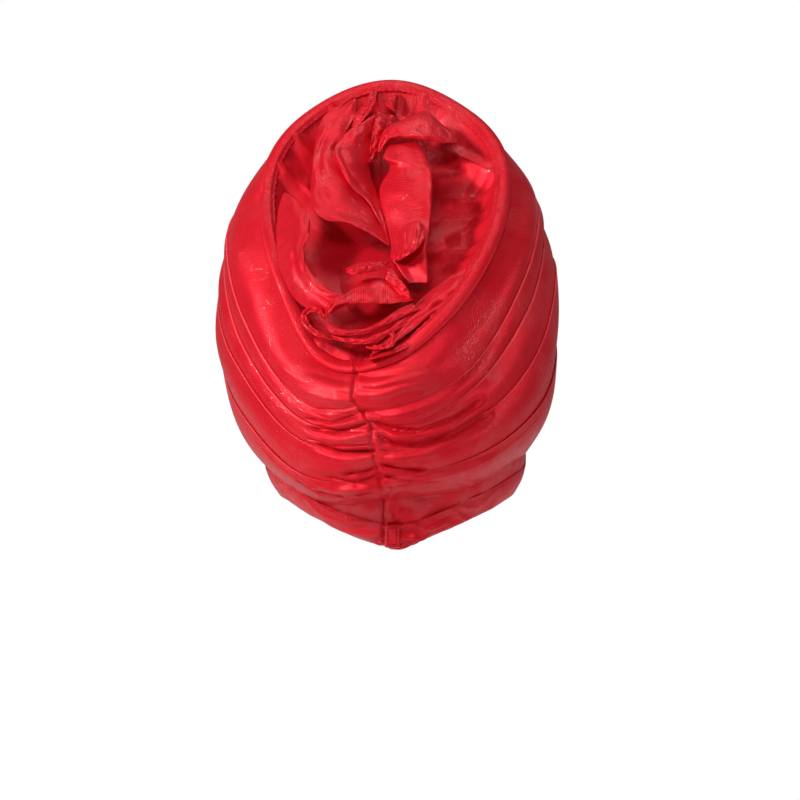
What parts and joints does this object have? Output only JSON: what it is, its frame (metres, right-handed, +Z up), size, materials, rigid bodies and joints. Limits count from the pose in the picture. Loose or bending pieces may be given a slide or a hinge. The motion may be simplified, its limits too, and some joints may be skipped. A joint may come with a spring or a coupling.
{
  "type": "turban headscarf",
  "caption": "Ready-made turban headscarf: stretch cap, pleated wraps round the head and a rolled crown opening filled by a gathered cloth rosette, held in its worn form.",
  "frame": {"origin": "where the top of the head bears on the inside of the base cap", "axes": "+Z up, -Y toward the wearer's face, +Y toward the back of the head, +X toward the wearer's left"},
  "size_m": [0.2135, 0.2391, 0.2805],
  "materials": {
    "crinkle_cloth": "red crinkled stretch cloth with a thin metallic sheen",
    "cap_cloth": "the same red cloth stretched flat over the cap"
  },
  "bodies": {
    "root": {"base_cap": "cap_cloth", "hem_band": "cap_cloth", "nape_tab": "cap_cloth", "rim_roll": "crinkle_cloth", "crown_rosette": "crinkle_cloth", "wrap_band_1": "crinkle_cloth", "wrap_band_2": "crinkle_cloth", "wrap_band_3": "crinkle_cloth", "wrap_band_4": "crinkle_cloth", "wrap_band_5": "crinkle_cloth"}
  },
  "joints": []
}
